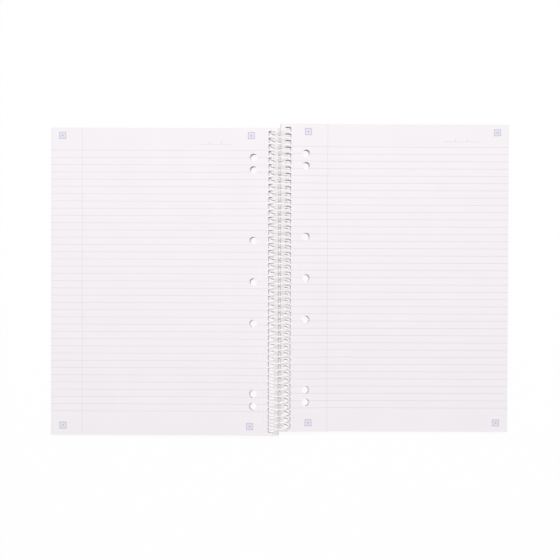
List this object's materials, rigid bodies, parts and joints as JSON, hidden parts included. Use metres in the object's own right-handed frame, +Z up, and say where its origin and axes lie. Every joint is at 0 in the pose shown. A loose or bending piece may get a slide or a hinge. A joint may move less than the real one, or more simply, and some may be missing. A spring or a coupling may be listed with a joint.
{
  "type": "spiral notebook",
  "caption": "Open spiral-bound ruled notebook lying flat: two punched page blocks on plain covers, hinged on one long wire coil.",
  "frame": {"origin": "on the table under the middle of the coil, at the centre of the open notebook's outline", "axes": "+Z up from the table, +Y along the coil towards the head of the pages, +X towards the right-hand page"},
  "size_m": [0.4418, 0.3012, 0.019],
  "materials": {
    "paper": "smooth white writing paper with pale ruling",
    "cover_board": "pale grey board, matt",
    "coil_wire": "steel wire with a glossy white coating"
  },
  "bodies": {
    "back_half": {"back_cover": "cover_board", "right_pages": "paper"},
    "front_half": {"front_cover": "cover_board", "left_pages": "paper"},
    "coil": {"binding_coil": "coil_wire"}
  },
  "joints": [
    {"name": "book_hinge", "type": "hinge", "parent": "back_half", "child": "front_half", "pos_m": [0, 0, 0.0095], "axis": [0, 1, 0], "range_deg": [0, 180]},
    {"name": "coil_turn", "type": "hinge", "parent": "back_half", "child": "coil", "pos_m": [0, 0, 0.0095], "axis": [0, 1, 0], "range_deg": [0, 90]}
  ],
  "couplings": [
    {"joint": "coil_turn", "follows": "book_hinge", "ratio": 0.5}
  ]
}
